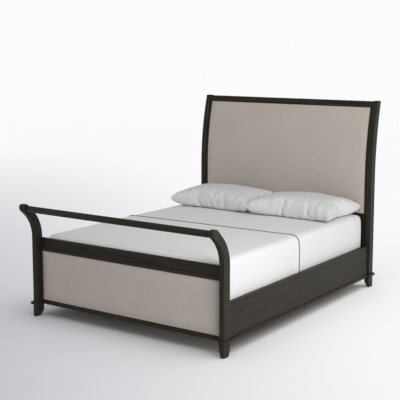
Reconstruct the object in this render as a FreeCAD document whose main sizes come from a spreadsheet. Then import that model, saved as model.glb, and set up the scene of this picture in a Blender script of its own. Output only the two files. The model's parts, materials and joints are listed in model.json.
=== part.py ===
import FreeCAD, Part
import math
import os
from types import SimpleNamespace

import Sketcher
from FreeCAD import Placement, Rotation, Vector

# Upholstered sleigh bed, queen size.  Millimetres, +Z up, floor at Z = 0, X = 0 on the bed's
# centre plane, the footboard towards -Y and the headboard towards +Y.

# ---------------------------------------------------------------------------------------
# Driving dimensions
# ---------------------------------------------------------------------------------------
SIZES = {
    # posts
    "half_width": 840.0,          # centre plane to the outer face of a post
    "post_width": 40.0,
    "post_depth": 70.0,
    "post_chamfer": 3.0,
    "rail_length": 2093.0,        # clear distance between the foot posts and the head posts
    "foot_line": -1059.425,        # Y of the foot posts' centre line
    # feet and their collars
    "glide_thick": 3.0,
    "glide_radius": 11.0,
    "foot_height": 90.0,
    "foot_taper_height": 45.0,
    "foot_taper_side": 16.0,
    "foot_taper_end": 15.0,
    "collar_height": 24.0,
    "collar_proud": 13.0,
    "collar_round": 7.0,
    # footboard: the posts curl away from the mattress above this height
    "curl_start": 600.0,
    "curl_front_radius": 235.0,
    "curl_back_radius": 265.0,
    "curl_front_angle": 48.0,
    "curl_back_angle": 46.0,
    "curl_front_run": 45.0,
    "curl_back_run": 82.0,
    "lip_forward": 9.0,           # rounded nose of the curl, from the end of its front run
    "lip_rise": 21.0,
    "lip_round": 30.0,
    "crown_back": 12.0,
    "crown_rise": 47.0,
    "crown_round": 20.0,
    "crest_forward": 9.0,         # rounded back edge of the curl, from the end of its back run
    "crest_rise": 4.0,
    "crest_round": 16.0,
    "foot_rail_side": 40.0,
    "foot_rail_round": 12.0,
    "foot_rail_reach": 112.0,
    "foot_rail_height": 817.0,
    "panel_face": 14.0,           # footboard face, measured back from the posts' centre line
    "foot_tenon_radius": 12.0,
    "panel_molding": 9.0,
    "panel_ply": 9.0,
    "foot_cushion_low": 123.0,
    "foot_cushion_high": 492.0,
    "mid_rail_top": 589.0,
    "mid_rail_groove": 515.0,
    "mid_rail_round": 3.0,
    "groove_deep": 4.0,
    "groove_round": 5.0,
    "mid_tenon_recess": 5.0,
    "mid_tenon_thick": 12.0,
    "mid_tenon_half": 28.0,
    "cushion_roll_deep": 6.0,
    "cushion_roll_high": 12.0,
    "cushion_roll_round": 14.0,
    "bottom_rail_low": 93.0,
    "bottom_rail_back": 190.0,
    "bottom_rail_round": 4.0,
    "bottom_tenon_recess": 13.0,
    "bottom_tenon_thick": 6.0,
    "bottom_tenon_low": 24.0,
    "bottom_tenon_high": 12.0,
    "bead_width": 14.0,
    "bead_round": 4.0,
    # headboard: the posts lean back above this height
    "lean_start": 900.0,
    "lean_front_radius": 2256.0,
    "lean_back_radius": 2543.0,
    "head_shoulder": 1516.0,
    "head_top": 1529.0,
    "head_tip_front": 14.0,       # rounded tip of the head posts
    "head_tip_front_round": 15.0,
    "head_tip_back": 12.0,
    "head_tip_back_round": 14.0,
    "head_rail_deep": 46.0,
    "head_rail_tall": 53.0,
    "head_rail_round": 20.0,
    "head_rail_height": 1498.5,
    "head_rail_offset": 76.0,
    "head_rail_tilt": 15.4,
    "head_rail_tenon_radius": 13.0,
    "head_cushion_low": 609.0,
    "head_cushion_high": 1472.0,
    "head_cushion_recess": 8.0,
    "head_cushion_thick": 32.0,
    "head_cushion_tuck": 7.0,     # rise of the panel layers behind the top rail
    "head_ply": 9.0,
    "head_bead_width": 25.0,
    "head_bead_recess": 12.0,
    "head_lower_rail_low": 300.0,
    "head_stretcher_high": 190.0,
    "head_rail_thick": 30.0,
    "head_tenon_half": 8.0,
    "head_tenon_inset": 30.0,
    "stretcher_tenon_low": 26.0,
    "stretcher_tenon_high": 20.0,
    # side rails
    "rail_outer": 825.0,
    "rail_thick": 28.0,
    "rail_low": 87.0,
    "rail_high": 347.0,
    "rail_round": 3.0,
    "molding_proud": 8.0,
    "molding_high": 25.0,
    "molding_low_round": 2.0,
    "molding_top_round": 9.0,
    "molding_land": 2.0,
    "cleat_wide": 22.0,
    "cleat_high": 40.0,
    # support under the mattress
    "slat_thick": 18.0,
    "slat_wide": 90.0,
    "slat_top": 185.0,
    "slat_round": 4.0,
    "slat_end_gap": 1.0,
    "beam_wide": 60.0,
    "beam_high": 40.0,
    "leg_side": 44.0,
    "leg_chamfer": 3.0,
    "cup_thick": 2.0,
    "cup_deep": 40.0,
    # steel rail fittings
    "plate_wide": 20.0,
    "plate_tall": 130.0,
    "plate_thick": 3.0,
    "plate_centre": 262.0,
    "hook_thick": 3.6,
    "hook_tall": 20.0,
    "hook_reach": 11.0,
    "hook_pitch": 60.0,
    "hook_slack": 3.0,            # room above and below a hook in its cavity
    "hook_end_slack": 4.0,
    "plate_screw_pitch": 110.0,
    "screw_radius": 2.0,
    "screw_head_radius": 4.0,
    "screw_head": 2.2,
    "plate_screw_long": 28.0,
    "cleat_screw_bite": 14.0,
    "slat_screw_bite": 18.0,
    "hole_spare": 2.0,            # empty end of a screw hole past the screw's tip
    "tenon_long": 25.0,
    # bedding
    "layer_gap": 0.4,             # air between the box spring and its neighbours
    "spring_half": 762.0,
    "spring_corner": 40.0,
    "spring_round": 8.0,
    "bed_foot_gap": 18.0,         # mattress end to the back of the foot posts
    "mattress_half": 768.0,
    "mattress_long": 2052.0,
    "mattress_low": 336.0,
    "mattress_high": 602.0,
    "mattress_round": 36.0,
    "mattress_corner": 60.0,
    "sheet_thick": 3.0,
    "sheet_low": 349.0,
    "cover_long": 953.0,
    "pillow_long": 744.0,
    "pillow_wide": 536.0,
    "pillow_tall": 160.0,
    "pillow_round": 66.0,
    "pillow_corner": 90.0,
    "pillow_gap": 12.0,
    "pillow_forward": 26.0,
    "pillow_lift": 0.5,
}
SLATS = 9
CENTRE_LEGS = 3
CLEAT_SCREWS = 6
FIT = 0.15                        # clearance around a tenon, a plate or a screw


class Size:
    """A length held both as a number and as the spreadsheet expression that drives it."""

    def __init__(self, text, value):
        self.text = text
        self.value = value

    def joined(self, other, sign, result):
        return Size("(%s %s %s)" % (self.text, sign, as_size(other).text), result)

    def __add__(self, other):
        return self.joined(other, "+", self.value + as_size(other).value)

    def __sub__(self, other):
        return self.joined(other, "-", self.value - as_size(other).value)

    def __mul__(self, other):
        return self.joined(other, "*", self.value * as_size(other).value)

    def __truediv__(self, other):
        return self.joined(other, "/", self.value / as_size(other).value)

    def __radd__(self, other):
        return as_size(other) + self

    def __rsub__(self, other):
        return as_size(other) - self

    def __rmul__(self, other):
        return as_size(other) * self

    def __neg__(self):
        return as_size(-1) * self


def as_size(amount):
    return amount if isinstance(amount, Size) else Size("%.6g" % amount, float(amount))


def cosine(angle):
    return Size("cos(%s)" % angle.text, math.cos(math.radians(angle.value)))


def sine(angle):
    return Size("sin(%s)" % angle.text, math.sin(math.radians(angle.value)))


def tangent(angle):
    return Size("tan(%s)" % angle.text, math.tan(math.radians(angle.value)))


def root(square):
    return Size("sqrt(%s)" % square.text, math.sqrt(square.value))


# ---------------------------------------------------------------------------------------
# The document and its spreadsheet
# ---------------------------------------------------------------------------------------
doc = FreeCAD.newDocument("sleigh_bed")
sheet = doc.addObject("Spreadsheet::Sheet", "sizes")
for row, (alias, number) in enumerate(SIZES.items(), start=1):
    sheet.set("A%d" % row, alias)
    sheet.set("B%d" % row, "%g" % number)
    sheet.setAlias("B%d" % row, alias)
doc.recompute()
d = SimpleNamespace(**{alias: Size("sizes." + alias, float(sheet.get(alias))) for alias in SIZES})

NODES = []                        # every sub-part, in the order it is made


# ---------------------------------------------------------------------------------------
# Helpers: binding, placing, sketches and features
# ---------------------------------------------------------------------------------------
def bind(thing, prop, size):
    """Set a property from a Size: an expression when it depends on the sheet."""
    if "sizes." in size.text:
        thing.setExpression(prop, size.text)


def place(thing, x=0, y=0, z=0, turn=None):
    """Put a sub-part at a point of the bed's frame, optionally tilted about X in degrees."""
    spot = [as_size(x), as_size(y), as_size(z)]
    rotation = Rotation(Vector(1, 0, 0), turn) if turn else Rotation()
    thing.Placement = Placement(Vector(*[size.value for size in spot]), rotation)
    for axis, size in zip("xyz", spot):
        bind(thing, "Placement.Base." + axis, size)


def node(thing, label):
    thing.Label = label
    NODES.append(thing)
    return thing


PLANES = {"XY": ("XY_Plane", 1), "XZ": ("XZ_Plane", -1), "YZ": ("YZ_Plane", 1)}


def new_sketch(body, plane, offset=0):
    """A sketch on one of the body's own origin planes, moved by offset along that plane's axis."""
    role, sign = PLANES[plane]
    sketch = body.newObject("Sketcher::SketchObject", body.Name + "_sketch")
    support = [f for f in body.Origin.OriginFeatures if getattr(f, "Role", "") == role][0]
    sketch.AttachmentSupport = [(support, "")]
    sketch.MapMode = "FlatFace"
    along = as_size(offset) * sign
    sketch.AttachmentOffset = Placement(Vector(0, 0, along.value), Rotation())
    bind(sketch, "AttachmentOffset.Base.z", along)
    return sketch


def fix(sketch, kind, *args, size):
    """Add a driving constraint and bind it to the sheet."""
    index = sketch.addConstraint(Sketcher.Constraint(kind, *args, size.value))
    bind(sketch, "Constraints[%d]" % index, size)


def arc_between(start, end, radius):
    """The short arc from start to end; a positive radius has its centre on the left of travel."""
    chord = end - start
    half = chord.Length / 2
    left = Vector(-chord.y, chord.x, 0).normalize()
    height = math.sqrt(max(radius * radius - half * half, 0.0))
    centre = start + chord / 2 + left * math.copysign(height, radius)
    first, last = (start, end) if radius > 0 else (end, start)
    angles = [math.atan2(p.y - centre.y, p.x - centre.x) for p in (first, last)]
    if angles[1] < angles[0]:
        angles[1] += 2 * math.pi
    circle = Part.Circle(centre, Vector(0, 0, 1), abs(radius))
    return Part.ArcOfCircle(circle, angles[0], angles[1])


def outline(sketch, corners):
    """A closed outline.  Each corner is (u, v), or (u, v, radius) when an arc arrives there."""
    corners = [tuple(as_size(number) for number in corner) for corner in corners]
    points = [Vector(corner[0].value, corner[1].value, 0) for corner in corners]
    ends = []
    for index, corner in enumerate(corners):
        start, end = points[index - 1], points[index]
        if len(corner) == 3:
            edge = sketch.addGeometry(arc_between(start, end, corner[2].value), False)
            ends.append((edge, 1, 2) if corner[2].value > 0 else (edge, 2, 1))
            radius = corner[2] if corner[2].value > 0 else -corner[2]
            fix(sketch, "Radius", edge, size=radius)
        else:
            edge = sketch.addGeometry(Part.LineSegment(start, end), False)
            ends.append((edge, 1, 2))
    for index, (edge, first, last) in enumerate(ends):
        previous, _, previous_last = ends[index - 1]
        sketch.addConstraint(Sketcher.Constraint("Coincident", previous, previous_last, edge, first))
        fix(sketch, "DistanceX", -1, 1, edge, last, size=corners[index][0])
        fix(sketch, "DistanceY", -1, 1, edge, last, size=corners[index][1])


def circle(sketch, u, v, radius):
    u, v, radius = as_size(u), as_size(v), as_size(radius)
    ring = Part.Circle(Vector(u.value, v.value, 0), Vector(0, 0, 1), radius.value)
    edge = sketch.addGeometry(ring, False)
    fix(sketch, "Radius", edge, size=radius)
    fix(sketch, "DistanceX", -1, 1, edge, 3, size=u)
    fix(sketch, "DistanceY", -1, 1, edge, 3, size=v)


def box_corners(u0, u1, v0, v1):
    return [(u0, v0), (u1, v0), (u1, v1), (u0, v1)]


def extrude(body, plane, shapes, length, offset=0):
    """Pad outlines (lists of corners) or circles (u, v, radius) towards the positive axis."""
    sketch = new_sketch(body, plane, offset)
    draw(sketch, shapes)
    pad = body.newObject("PartDesign::Pad", body.Name + "_pad")
    pad.Profile = sketch
    pad.Reversed = plane == "XZ"
    pad.Length = as_size(length).value
    bind(pad, "Length", as_size(length))
    return pad


def draw(sketch, shapes):
    for shape in shapes:
        if isinstance(shape, tuple):
            circle(sketch, *shape)
        else:
            outline(sketch, shape)


def cut(body, plane, shapes, offset, depth, towards):
    """Pocket shapes from a plane at offset, cutting towards +1 or -1 along the plane's axis."""
    doc.recompute()
    before = body.Shape.Volume
    sketch = new_sketch(body, plane, offset)
    draw(sketch, shapes)
    pocket = body.newObject("PartDesign::Pocket", body.Name + "_pocket")
    pocket.Profile = sketch
    pocket.Length = as_size(depth).value
    bind(pocket, "Length", as_size(depth))
    pocket.Reversed = (towards > 0) == (plane != "XZ")
    doc.recompute()
    if body.Shape.Volume >= before - 1e-3:
        raise RuntimeError("%s: a pocket removed nothing" % body.Label)
    return pocket


def dress(body, kind, size, keep):
    """Fillet or chamfer the edges of the body's tip that the test keeps."""
    doc.recompute()
    base = body.Tip
    names = ["Edge%d" % (i + 1) for i, edge in enumerate(base.Shape.Edges) if keep(edge)]
    feature = body.newObject("PartDesign::" + kind, body.Name + "_" + kind.lower())
    feature.Base = (base, names)
    prop = "Radius" if kind == "Fillet" else "Size"
    setattr(feature, prop, size.value)
    bind(feature, prop, size)
    return feature


def new_body(label):
    return node(doc.addObject("PartDesign::Body", label), label)


def along(axis):
    """Edge test: a straight edge parallel to the axis."""
    direction = {"x": Vector(1, 0, 0), "y": Vector(0, 1, 0), "z": Vector(0, 0, 1)}[axis]

    def keep(edge):
        run = edge.Vertexes[-1].Point - edge.Vertexes[0].Point
        return run.Length > 1e-6 and abs(run.normalize().dot(direction)) > 0.999
    return keep


def spans(edge):
    box = edge.BoundBox
    return box.XLength, box.YLength, box.ZLength


# ---------------------------------------------------------------------------------------
# Places that several sub-parts share
# ---------------------------------------------------------------------------------------
half_depth = d.post_depth / 2
head_line = d.foot_line + d.rail_length + d.post_depth
post_inner = d.half_width - d.post_width
rail_inner = d.rail_outer - d.rail_thick
foot_back = d.foot_line + half_depth          # back face of the foot posts
head_front = head_line - half_depth           # front face of the head posts
support_top = d.slat_top - d.slat_thick       # top of the cleats and the centre beam
SIDES = (("left", -1), ("right", 1))


def foot_front_edge():
    """End of the foot post's front curl, relative to the post's centre line."""
    reach = half_depth + d.curl_front_radius * (1 - cosine(d.curl_front_angle))
    return -reach, d.curl_start + d.curl_front_radius * sine(d.curl_front_angle)


def foot_back_edge():
    """End of the foot post's back curl, relative to the post's centre line."""
    reach = d.curl_back_radius * (1 - cosine(d.curl_back_angle)) - half_depth
    return -reach, d.curl_start + d.curl_back_radius * sine(d.curl_back_angle)


def lean(recess, height, radius=None):
    """Y of a headboard surface at a height, recess behind the head posts' front face."""
    swept = (radius or d.lean_front_radius) - recess
    rise = height - d.lean_start
    return recess - half_depth + swept - root(swept * swept - rise * rise)


def curved_slab(front, back):
    """Outline of a headboard layer between two recesses, ending just under the tilted top rail."""
    low = d.head_cushion_low
    outer = d.lean_front_radius - front
    inner = d.lean_front_radius - back
    front_high, back_high = [d.head_cushion_high + d.head_cushion_tuck - recess * tangent(d.head_rail_tilt)
                             for recess in (front, back)]
    return [
        (front - half_depth, low),
        (front - half_depth, d.lean_start),
        (lean(front, front_high), front_high, -outer),
        (lean(back, back_high), back_high),
        (back - half_depth, d.lean_start, inner),
        (back - half_depth, low),
    ]


# ---------------------------------------------------------------------------------------
# Posts
# ---------------------------------------------------------------------------------------
def post_mortises(body, inner_face, towards, mortises):
    """Blind mortises for the cross rails, cut from the post's inner face."""
    cut(body, "YZ", mortises, inner_face, d.tenon_long + FIT, towards)


def plate_mortise(body, face, towards, middle):
    """Seat for the slotted plate, its two hook cavities and its two screw holes."""
    low = d.plate_centre - d.plate_tall / 2 - FIT
    high = d.plate_centre + d.plate_tall / 2 + FIT
    half = d.plate_wide / 2 + FIT
    cut(body, "XZ", [box_corners(middle - half, middle + half, low, high)], face, d.plate_thick, towards)
    cavities = []
    for step in (-1, 1):
        at = d.plate_centre + step * d.hook_pitch / 2
        tall = d.hook_tall / 2 + d.hook_slack
        cavities.append(box_corners(middle - d.hook_thick, middle + d.hook_thick, at - tall, at + tall))
    cut(body, "XZ", cavities, face, d.hook_reach + d.hook_end_slack, towards)
    screws = [(middle, d.plate_centre + step * d.plate_screw_pitch / 2, d.screw_radius + FIT)
              for step in (-1, 1)]
    cut(body, "XZ", screws, face, d.plate_screw_long + d.hole_spare + FIT, towards)


def post_edges(shortest):
    """Edge test: the outline of a post's two side faces, where an edge is at least this long."""
    def keep(edge):
        x_span, _, z_span = spans(edge)
        return x_span < 1e-6 and z_span > 1e-6 and edge.Length > shortest
    return keep


def footboard_post(side, sign):
    body = new_body("footboard_post_" + side)
    front_y, front_z = foot_front_edge()
    back_y, back_z = foot_back_edge()
    lip_y = front_y - d.curl_front_run * sine(d.curl_front_angle)
    lip_z = front_z + d.curl_front_run * cosine(d.curl_front_angle)
    crest_y = back_y - d.curl_back_run * sine(d.curl_back_angle)
    crest_z = back_z + d.curl_back_run * cosine(d.curl_back_angle)
    extrude(body, "YZ", [[
        (half_depth, d.foot_height),
        (-half_depth, d.foot_height),
        (-half_depth, d.curl_start),
        (front_y, front_z, d.curl_front_radius),
        (lip_y, lip_z),
        (lip_y - d.lip_forward, lip_z + d.lip_rise, -d.lip_round),
        (lip_y + d.crown_back, lip_z + d.crown_rise, -d.crown_round),
        (crest_y - d.crest_forward, crest_z + d.crest_rise),
        (crest_y, crest_z, -d.crest_round),
        (back_y, back_z),
        (half_depth, d.curl_start, -d.curl_back_radius),
    ]], d.post_width)
    dress(body, "Chamfer", d.post_chamfer, post_edges(0))
    inner_face = d.post_width if sign < 0 else as_size(0)
    post_mortises(body, inner_face, sign, [
        (-d.foot_rail_reach, d.foot_rail_height, d.foot_tenon_radius + FIT),
        mid_tenon(as_size(0)),
        bottom_tenon(as_size(0)),
    ])
    plate_mortise(body, half_depth, -1, rail_middle(sign))
    place(body, -d.half_width if sign < 0 else post_inner, d.foot_line)
    return body


def mid_tenon(shrink):
    """Section of the footboard mid rail's tenon, smaller all round by shrink."""
    front = d.panel_face + d.mid_tenon_recess
    mid = (d.mid_rail_top + d.mid_rail_groove) / 2
    return box_corners(front + shrink, front + d.mid_tenon_thick - shrink,
                       mid - d.mid_tenon_half + shrink, mid + d.mid_tenon_half - shrink)


def bottom_tenon(shrink):
    """Section of the footboard bottom rail's tenon, smaller all round by shrink."""
    front = d.panel_face + d.bottom_tenon_recess
    return box_corners(front + shrink, front + d.bottom_tenon_thick - shrink,
                       d.bottom_rail_low + d.bottom_tenon_low + shrink,
                       d.bottom_rail_back - d.bottom_tenon_high - shrink)


def head_tenon(low, high, shrink):
    """Section of a flat headboard tenon between two heights, smaller all round by shrink."""
    half = d.head_tenon_half - shrink
    return box_corners(-half, half, low + shrink, high - shrink)


def lower_rail_tenon(shrink):
    return head_tenon(d.head_lower_rail_low + d.head_tenon_inset,
                      d.head_cushion_low - d.head_tenon_inset, shrink)


def stretcher_tenon(shrink):
    return head_tenon(d.bottom_rail_low + d.stretcher_tenon_low,
                      d.head_stretcher_high - d.stretcher_tenon_high, shrink)


def rail_middle(sign):
    """Middle of the side rail's thickness, measured from the post's lower X face."""
    middle = (d.rail_outer + rail_inner) / 2
    return d.half_width - middle if sign < 0 else middle - post_inner


def headboard_post(side, sign):
    body = new_body("headboard_post_" + side)
    back = half_depth + d.lean_back_radius
    rise = d.head_shoulder - d.lean_start
    back_y = back - root(d.lean_back_radius * d.lean_back_radius - rise * rise)
    front_y = lean(as_size(0), d.head_shoulder)
    extrude(body, "YZ", [[
        (half_depth, d.foot_height),
        (-half_depth, d.foot_height),
        (-half_depth, d.lean_start),
        (front_y, d.head_shoulder, -d.lean_front_radius),
        (front_y + d.head_tip_front, d.head_top, -d.head_tip_front_round),
        (back_y - d.head_tip_back, d.head_top),
        (back_y, d.head_shoulder, -d.head_tip_back_round),
        (half_depth, d.lean_start, d.lean_back_radius),
    ]], d.post_width)
    dress(body, "Chamfer", d.post_chamfer, post_edges(100))
    inner_face = d.post_width if sign < 0 else as_size(0)
    post_mortises(body, inner_face, sign, [
        (d.head_rail_offset, d.head_rail_height, d.head_rail_tenon_radius + FIT),
        lower_rail_tenon(as_size(0)),
        stretcher_tenon(as_size(0)),
    ])
    plate_mortise(body, -half_depth, 1, rail_middle(sign))
    place(body, -d.half_width if sign < 0 else post_inner, head_line)
    return body


# ---------------------------------------------------------------------------------------
# Feet, collars and glides.  inward is the direction of the bed's middle along Y.
# ---------------------------------------------------------------------------------------
def post_section(sign, inward, side_cut, end_cut):
    """Post section with its inner side and inner end cut back, outer faces kept flush."""
    x0 = -d.half_width if sign < 0 else post_inner + side_cut
    x1 = -post_inner - side_cut if sign < 0 else d.half_width
    y0 = end_cut - half_depth if inward < 0 else -half_depth
    y1 = half_depth - end_cut if inward > 0 else half_depth
    return box_corners(x0, x1, y0, y1)


def foot(label, sign, line, inward):
    body = new_body(label)
    full = post_section(sign, inward, as_size(0), as_size(0))
    small = post_section(sign, inward, d.foot_taper_side, d.foot_taper_end)
    extrude(body, "XY", [full], d.foot_height - d.foot_taper_height, d.foot_taper_height)
    top = new_sketch(body, "XY", d.foot_taper_height)
    outline(top, full)
    bottom = new_sketch(body, "XY", d.glide_thick)
    outline(bottom, small)
    loft = body.newObject("PartDesign::AdditiveLoft", label + "_loft")
    loft.Profile = bottom
    loft.Sections = [top]
    loft.Ruled = True
    place(body, 0, line)
    return body


def collar(label, sign, line, inward):
    """Rounded moulding round a post's outer faces, open where the side rail meets it."""
    body = new_body(label)
    proud = d.collar_proud
    notch = d.rail_outer + d.molding_proud + FIT
    bend = as_size(inward) * half_depth
    outer_y = as_size(inward) * (half_depth + proud)
    corners = [
        (post_inner, -outer_y),
        (d.half_width + proud, -outer_y),
        (d.half_width + proud, outer_y),
        (notch, outer_y),
        (notch, bend),
        (d.half_width, bend),
        (d.half_width, -bend),
        (post_inner, -bend),
    ]
    corners = [(as_size(sign) * x, y) for x, y in corners]
    extrude(body, "XY", [corners], d.collar_height, d.foot_height)
    reach_x = (d.half_width + proud).value
    reach_y = outer_y.value

    def outer(edge):
        middle = edge.CenterOfMass
        flat = spans(edge)[2] < 1e-6
        on_side = abs(abs(middle.x) - reach_x) < 0.01
        on_front = abs(middle.y + reach_y) < 0.01
        return flat and (on_side or on_front)
    dress(body, "Fillet", d.collar_round, outer)
    place(body, 0, line)
    return body


def glides():
    """Nylon glides under the four feet and the centre legs, as one group."""
    radius, thick = d.glide_radius.value, d.glide_thick.value
    foot_x = (d.half_width - (d.post_width - d.foot_taper_side) / 2).value
    inset = (d.foot_taper_end / 2).value
    spots = [(sign * foot_x, d.foot_line.value - inset) for sign in (-1, 1)]
    spots += [(sign * foot_x, head_line.value + inset) for sign in (-1, 1)]
    spots += [(0, leg_y(index).value) for index in range(CENTRE_LEGS)]
    group = node(doc.addObject("Part::Feature", "floor_glides"), "floor_glides")
    group.Shape = Part.makeCompound([Part.makeCylinder(radius, thick, Vector(x, y, 0)) for x, y in spots])
    return group


# ---------------------------------------------------------------------------------------
# Footboard rails, panel and cushion
# ---------------------------------------------------------------------------------------
def cross_rail(label, line, profile, tenon, turn=None, y=0, z=0):
    """A rail between the posts: its profile, with a tenon running on into both posts."""
    body = new_body(label)
    extrude(body, "YZ", [profile], post_inner * 2, -post_inner)
    extrude(body, "YZ", [tenon], post_inner * 2 + d.tenon_long * 2, -post_inner - d.tenon_long)
    place(body, 0, line + y, z, turn)
    return body


def footboard_top_rail():
    half = d.foot_rail_side / 2
    body = cross_rail("footboard_top_rail", d.foot_line, box_corners(-half, half, -half, half),
                      (0, 0, d.foot_tenon_radius), 45, -d.foot_rail_reach, d.foot_rail_height)
    length = (post_inner * 2).value
    dress(body, "Fillet", d.foot_rail_round,
          lambda edge: along("x")(edge) and abs(spans(edge)[0] - length) < 0.01)


def footboard_mid_rail():
    """Flat face above, a groove, and a rounded moulding that borders the cushion."""
    face, bead, back = d.panel_face, d.panel_molding, half_depth
    groove, low, top = d.mid_rail_groove, d.foot_cushion_high, d.mid_rail_top
    edge, bend = d.mid_rail_round, d.groove_round
    cross_rail("footboard_mid_rail", d.foot_line, [
        (back, low),
        (back, top - edge),
        (back - edge, top, edge),
        (face + edge, top),
        (face, top - edge, edge),
        (face, groove + bend),
        (face + d.groove_deep, groove + bend),
        (face + d.groove_deep, groove),
        (bead + bend, groove),
        (bead, groove - bend, bend),
        (bead, low + bend),
        (bead + bend, low, bend),
    ], mid_tenon(as_size(FIT)))


def footboard_bottom_rail():
    """Narrow lip under the cushion and a taller back that carries the centre beam."""
    face, back, low, lip = d.panel_molding, half_depth, d.bottom_rail_low, d.foot_cushion_low
    bend = d.bottom_rail_round
    cross_rail("footboard_bottom_rail", d.foot_line, [
        (face + bend, low, bend),
        (back, low),
        (back, d.bottom_rail_back),
        (back - d.panel_ply, d.bottom_rail_back),
        (back - d.panel_ply, lip),
        (face + bend, lip),
        (face, lip - bend, bend),
        (face, low + bend),
    ], bottom_tenon(as_size(FIT)))


def plain_panel(label, line, profile, half):
    """A slab between -half and half across the bed."""
    body = new_body(label)
    extrude(body, "YZ", [profile], half * 2, -half)
    place(body, 0, line)


def footboard_panel():
    back = half_depth
    plain_panel("footboard_back_panel", d.foot_line,
                box_corners(back - d.panel_ply, back, d.bottom_rail_back, d.foot_cushion_high),
                post_inner)


def footboard_cushion():
    """Padded panel on the plywood, rolled over at its top and bottom borders."""
    body = new_body("footboard_cushion")
    low, high = d.foot_cushion_low, d.foot_cushion_high
    back = half_depth - d.panel_ply
    half = post_inner - d.bead_width
    face, deep, tall, bend = d.panel_face, d.cushion_roll_deep, d.cushion_roll_high, d.cushion_roll_round
    extrude(body, "YZ", [[
        (back, low),
        (back, high),
        (face + deep, high),
        (face, high - tall, bend),
        (face, low + tall),
        (face + deep, low, bend),
    ]], half * 2, -half)
    place(body, 0, d.foot_line)


def footboard_bead(side, sign):
    """Upright bead between the cushion and a foot post."""
    body = new_body("footboard_bead_" + side)
    start = -post_inner if sign < 0 else post_inner - d.bead_width
    extrude(body, "YZ", [box_corners(d.panel_molding, half_depth - d.panel_ply,
                                     d.foot_cushion_low, d.foot_cushion_high)], d.bead_width, start)
    dress(body, "Fillet", d.bead_round,
          lambda edge: along("z")(edge) and abs(edge.CenterOfMass.y - d.panel_molding.value) < 0.01)
    place(body, 0, d.foot_line)


# ---------------------------------------------------------------------------------------
# Headboard rails, panel and cushion
# ---------------------------------------------------------------------------------------
def headboard_top_rail():
    deep, tall = d.head_rail_deep / 2, d.head_rail_tall / 2
    body = cross_rail("headboard_top_rail", head_line, box_corners(-deep, deep, -tall, tall),
                      (0, 0, d.head_rail_tenon_radius), -SIZES["head_rail_tilt"], d.head_rail_offset, d.head_rail_height)
    length = (post_inner * 2).value
    dress(body, "Fillet", d.head_rail_round,
          lambda edge: along("x")(edge) and abs(spans(edge)[0] - length) < 0.01
          and edge.CenterOfMass.z > 1)


def headboard_low_rails():
    """The broad rail that the cushion stands on and the stretcher near the floor."""
    half = d.head_rail_thick / 2
    cross_rail("headboard_lower_rail", head_line,
               box_corners(-half, half, d.head_lower_rail_low, d.head_cushion_low),
               lower_rail_tenon(as_size(FIT)))
    cross_rail("headboard_stretcher", head_line,
               box_corners(-half, half, d.bottom_rail_low, d.head_stretcher_high),
               stretcher_tenon(as_size(FIT)))


def headboard_panel():
    front = d.head_cushion_recess + d.head_cushion_thick
    plain_panel("headboard_back_panel", head_line,
                curved_slab(front, front + d.head_ply), post_inner)


def headboard_cushion():
    front, back = d.head_cushion_recess, d.head_cushion_recess + d.head_cushion_thick
    half = post_inner - d.head_bead_width
    plain_panel("headboard_cushion", head_line, curved_slab(front, back), half)


def headboard_bead(side, sign):
    """Upright bead between the cushion and a head post, following the lean."""
    body = new_body("headboard_bead_" + side)
    start = -post_inner if sign < 0 else post_inner - d.head_bead_width
    back = d.head_cushion_recess + d.head_cushion_thick
    extrude(body, "YZ", [curved_slab(d.head_bead_recess, back)], d.head_bead_width, start)
    place(body, 0, head_line)


# ---------------------------------------------------------------------------------------
# Side rails with their mouldings, cleats and steel fittings
# ---------------------------------------------------------------------------------------
def side_rail(side, sign):
    body = new_body("side_rail_" + side)
    low_x = -d.rail_outer if sign < 0 else rail_inner
    high_x = -rail_inner if sign < 0 else d.rail_outer
    extrude(body, "XZ", [box_corners(low_x, high_x, d.rail_low, d.rail_high)], d.rail_length)
    top = d.rail_high.value
    dress(body, "Fillet", d.rail_round,
          lambda edge: along("y")(edge) and edge.CenterOfMass.z > top - 0.01)
    middle = as_size(sign) * (d.rail_outer + rail_inner) / 2
    for face, towards in ((as_size(0), 1), (d.rail_length, -1)):
        half, tall = d.plate_wide / 2 + FIT, d.plate_tall / 2 + FIT
        cut(body, "XZ", [box_corners(middle - half, middle + half, d.plate_centre - tall,
                                     d.plate_centre + tall)], face, d.plate_thick, towards)
        cut(body, "XZ", [(middle, d.plate_centre + step * d.plate_screw_pitch / 2, d.screw_radius + FIT)
                         for step in (-1, 1)], face, d.plate_screw_long + d.hole_spare + FIT, towards)
    face = -rail_inner if sign < 0 else rail_inner
    cut(body, "YZ", [(y, cleat_height(), d.screw_radius + FIT) for y in cleat_screw_places()],
        face, d.cleat_screw_bite + d.hole_spare + FIT, sign)
    place(body, 0, foot_back)
    return body


def cleat_height():
    return support_top - d.cleat_high / 2


def cleat_screw_places():
    """Distances of the cleat screws from the foot end of the rail, midway between slats."""
    pitch = slat_pitch()
    return [d.bed_foot_gap + pitch * (0.5 + index * (SLATS - 1) / CLEAT_SCREWS + 0.5)
            for index in range(CLEAT_SCREWS)]


def side_rail_molding(side, sign):
    """Base moulding glued along the lower edge of a rail, its top edge rounded."""
    body = new_body("side_rail_molding_" + side)
    inner, outer = d.rail_outer, d.rail_outer + d.molding_proud
    low, high = d.rail_low, d.rail_low + d.molding_high
    under, bend = d.molding_low_round, d.molding_top_round
    profile = [(inner, low), (outer - under, low), (outer, low + under, under), (outer, high - bend),
               (inner + d.molding_land, high, bend), (inner, high)]
    profile = [(as_size(sign) * c[0], c[1]) + ((as_size(sign) * c[2],) if len(c) > 2 else ())
               for c in profile]
    extrude(body, "XZ", [profile], d.rail_length)
    place(body, 0, foot_back)


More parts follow.
